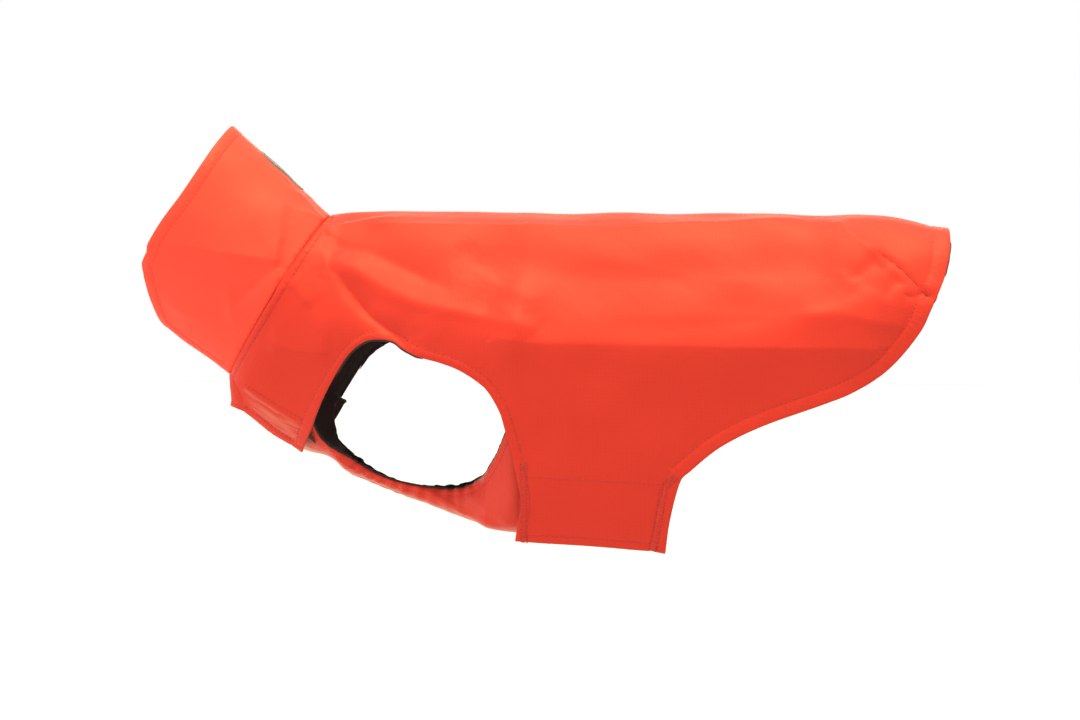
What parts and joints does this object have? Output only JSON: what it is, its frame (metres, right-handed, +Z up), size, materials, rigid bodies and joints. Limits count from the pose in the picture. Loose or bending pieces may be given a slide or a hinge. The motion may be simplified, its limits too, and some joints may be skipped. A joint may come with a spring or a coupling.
{
  "type": "high-visibility dog jacket",
  "caption": "Orange rain jacket for a dog, hollow as worn: standing collar, leash slit, neck straps, leg holes, chest panel and belly flaps closed with hook-and-loop tape.",
  "frame": {"origin": "on the middle of the wearer's back at the withers, where the coat lies on the back line", "axes": "+X toward the tail, +Z up, so the dog's left side is -Y"},
  "size_m": [0.639, 0.1786, 0.3353],
  "materials": {
    "orange_rain_cloth": "coated ripstop rain cloth with a soft sheen",
    "charcoal_lining": "matt charcoal lining",
    "black_fastener_tape": "black hook-and-loop tape",
    "grey_reflective_binding": "grey retroreflective binding"
  },
  "bodies": {
    "root": {"coat_shell": "orange_rain_cloth", "collar": "orange_rain_cloth", "chest_panel": "orange_rain_cloth", "coat_lining": "charcoal_lining", "chest_lining": "charcoal_lining", "strap_hook_left": "black_fastener_tape", "strap_hook_right": "black_fastener_tape", "flap_hook_left": "black_fastener_tape", "flap_hook_right": "black_fastener_tape", "chest_loop_left": "black_fastener_tape", "chest_loop_right": "black_fastener_tape", "belly_loop_left": "black_fastener_tape", "belly_loop_right": "black_fastener_tape", "leash_binding": "grey_reflective_binding"}
  },
  "joints": []
}
